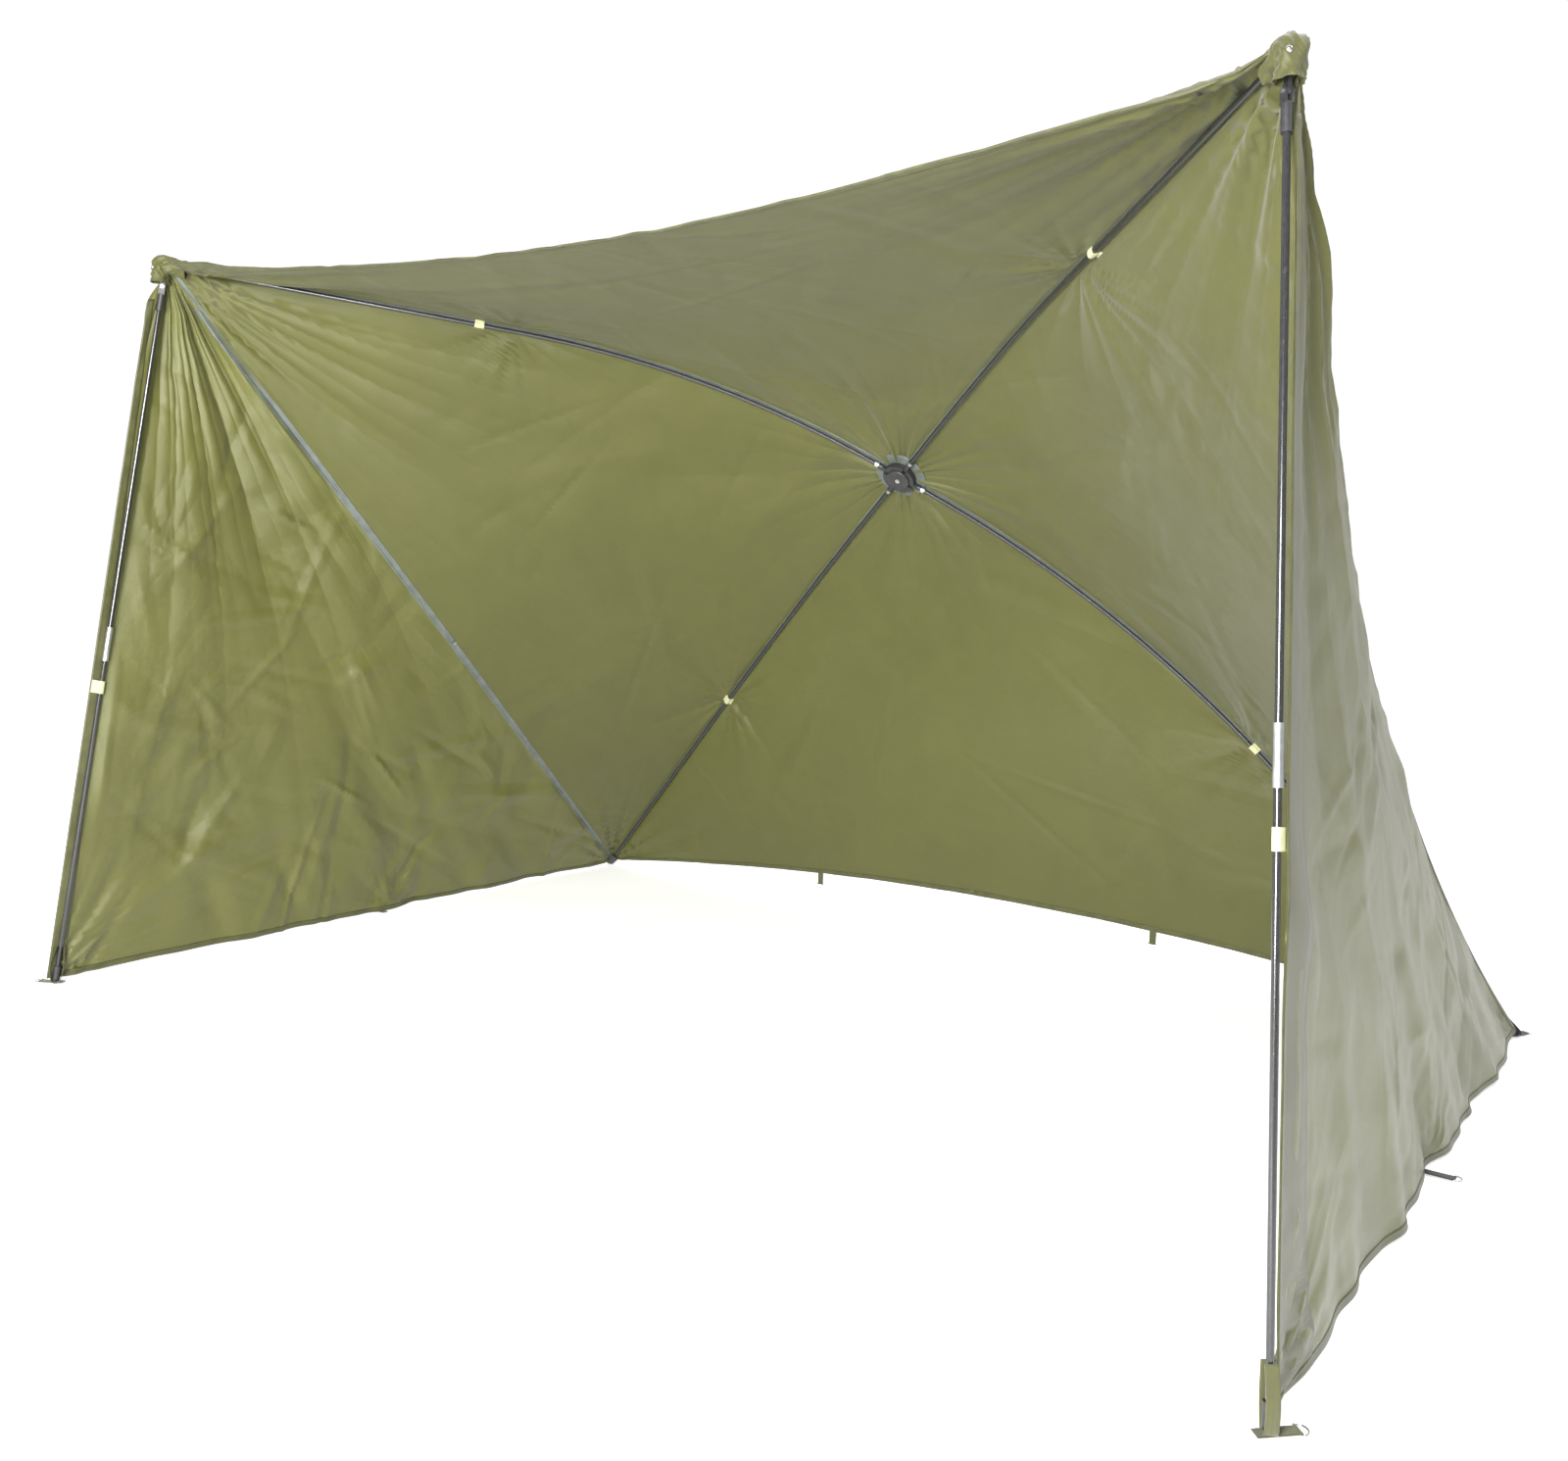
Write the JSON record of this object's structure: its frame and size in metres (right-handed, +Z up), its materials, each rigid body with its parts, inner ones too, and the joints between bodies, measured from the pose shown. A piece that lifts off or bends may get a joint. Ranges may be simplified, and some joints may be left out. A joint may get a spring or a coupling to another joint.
{
  "type": "tarp shelter",
  "caption": "Open-fronted camping shelter: four bent ribs on a tilted folding hub, two jointed front legs, a coated cloth canopy with side wings, and webbing tabs with steel peg rings.",
  "frame": {"origin": "on the ground under the middle of the shelter's whole box", "axes": "+X to the shelter's right as seen from its open front, the open front faces -Y, +Z up"},
  "size_m": [2.5761, 1.7228, 1.4783],
  "materials": {
    "canopy_fabric": "coated polyester, satin",
    "pole": "glass-fibre rod, satin black",
    "hub_plastic": "moulded nylon, fine grain",
    "steel": "bright drawn steel",
    "ring_steel": "nickel plated",
    "cream_webbing": "flat woven webbing",
    "olive_webbing": "flat woven webbing",
    "dark_webbing": "flat woven webbing"
  },
  "bodies": {
    "hub": {"hub_body": "hub_plastic", "hub_cap": "hub_plastic", "hub_screw": "steel", "hub_pins": "steel", "roof_panel": "canopy_fabric", "left_panel": "canopy_fabric", "right_panel": "canopy_fabric", "back_panel": "canopy_fabric", "left_wing": "canopy_fabric", "right_wing": "canopy_fabric", "wing_tabs": "dark_webbing", "wing_rings": "ring_steel", "back_tabs": "olive_webbing", "back_rings": "ring_steel"},
    "rib_front_left": {"rib_front_left": "pole", "root_front_left": "hub_plastic", "crimp_front_left": "steel", "rib_tab_front_left": "cream_webbing", "corner_bracket_left": "hub_plastic", "leg_pin_left": "steel"},
    "rib_rear_left": {"rib_rear_left": "pole", "root_rear_left": "hub_plastic", "crimp_rear_left": "steel", "rib_tab_rear_left": "cream_webbing", "rear_tip_left": "hub_plastic", "corner_tab_left": "dark_webbing"},
    "leg_left": {"leg_fork_left": "hub_plastic", "leg_upper_left": "pole", "ferrule_left": "steel", "leg_tab_left": "cream_webbing"},
    "leg_lower_left": {"leg_lower_left": "pole", "foot_cap_left": "hub_plastic", "foot_strap_left": "olive_webbing"},
    "foot_ring_left": {"foot_ring_left": "ring_steel"},
    "corner_ring_left": {"corner_ring_left": "ring_steel"},
    "rib_front_right": {"rib_front_right": "pole", "root_front_right": "hub_plastic", "crimp_front_right": "steel", "rib_tab_front_right": "cream_webbing", "corner_bracket_right": "hub_plastic", "leg_pin_right": "steel"},
    "rib_rear_right": {"rib_rear_right": "pole", "root_rear_right": "hub_plastic", "crimp_rear_right": "steel", "rib_tab_rear_right": "cream_webbing", "rear_tip_right": "hub_plastic", "corner_tab_right": "dark_webbing"},
    "leg_right": {"leg_fork_right": "hub_plastic", "leg_upper_right": "pole", "ferrule_right": "steel", "leg_tab_right": "cream_webbing"},
    "leg_lower_right": {"leg_lower_right": "pole", "foot_cap_right": "hub_plastic", "foot_strap_right": "olive_webbing"},
    "foot_ring_right": {"foot_ring_right": "ring_steel"},
    "corner_ring_right": {"corner_ring_right": "ring_steel"}
  },
  "joints": [
    {"name": "frame_fold", "type": "hinge", "parent": "hub", "child": "rib_front_left", "pos_m": [-0.02239, 0.38882, 1.11137], "axis": [0.6654, -0.5265, 0.5292], "range_deg": [0, 60], "deforming": ["roof_panel", "left_panel", "right_panel", "back_panel", "left_wing", "right_wing", "wing_tabs", "wing_rings", "back_tabs", "back_rings"]},
    {"name": "front_right_rib_fold", "type": "hinge", "parent": "hub", "child": "rib_front_right", "pos_m": [0.02239, 0.38882, 1.11137], "axis": [0.6654, 0.5265, -0.5292], "range_deg": [0, 60]},
    {"name": "rear_left_rib_fold", "type": "hinge", "parent": "hub", "child": "rib_rear_left", "pos_m": [-0.02263, 0.41679, 1.08326], "axis": [-0.6565, -0.532, 0.5348], "range_deg": [0, 60]},
    {"name": "rear_right_rib_fold", "type": "hinge", "parent": "hub", "child": "rib_rear_right", "pos_m": [0.02263, 0.41679, 1.08326], "axis": [-0.6565, 0.532, -0.5348], "range_deg": [0, 60]},
    {"name": "leg_fold_left", "type": "hinge", "parent": "rib_front_left", "child": "leg_left", "pos_m": [-1.12, -0.638, 1.427], "axis": [0.7269, -0.6862, 0.0282], "range_deg": [0, 84.43]},
    {"name": "leg_fold_right", "type": "hinge", "parent": "rib_front_right", "child": "leg_right", "pos_m": [1.12, -0.638, 1.427], "axis": [0.7269, 0.6862, -0.0282], "range_deg": [0, 84.43]},
    {"name": "leg_pull_left", "type": "slide", "parent": "leg_left", "child": "leg_lower_left", "axis": [-0.0905, -0.1364, -0.9865], "range_m": [0, 0.06]},
    {"name": "leg_pull_right", "type": "slide", "parent": "leg_right", "child": "leg_lower_right", "axis": [0.0905, -0.1364, -0.9865], "range_m": [0, 0.06]},
    {"name": "foot_ring_left_swing", "type": "hinge", "parent": "leg_lower_left", "child": "foot_ring_left", "pos_m": [-1.27901, -0.85075, 0.00256], "axis": [-0.5, 0.866, 0], "range_deg": [-6, 140]},
    {"name": "foot_ring_right_swing", "type": "hinge", "parent": "leg_lower_right", "child": "foot_ring_right", "pos_m": [1.27369, -0.81031, 0.00256], "axis": [0.7071, -0.7071, 0], "range_deg": [-6, 140]},
    {"name": "corner_ring_left_swing", "type": "hinge", "parent": "rib_rear_left", "child": "corner_ring_left", "pos_m": [-1.24129, 0.84864, 0.00256], "axis": [0.8829, 0.4695, 0], "range_deg": [-6, 140]},
    {"name": "corner_ring_right_swing", "type": "hinge", "parent": "rib_rear_right", "child": "corner_ring_right", "pos_m": [1.24129, 0.84864, 0.00256], "axis": [0.8829, -0.4695, 0], "range_deg": [-6, 140]}
  ],
  "couplings": [
    {"joint": "front_right_rib_fold", "follows": "frame_fold", "ratio": 1},
    {"joint": "rear_left_rib_fold", "follows": "frame_fold", "ratio": 1},
    {"joint": "rear_right_rib_fold", "follows": "frame_fold", "ratio": 1},
    {"joint": "leg_fold_left", "follows": "frame_fold", "ratio": 1.4072},
    {"joint": "leg_fold_right", "follows": "frame_fold", "ratio": 1.4072}
  ]
}
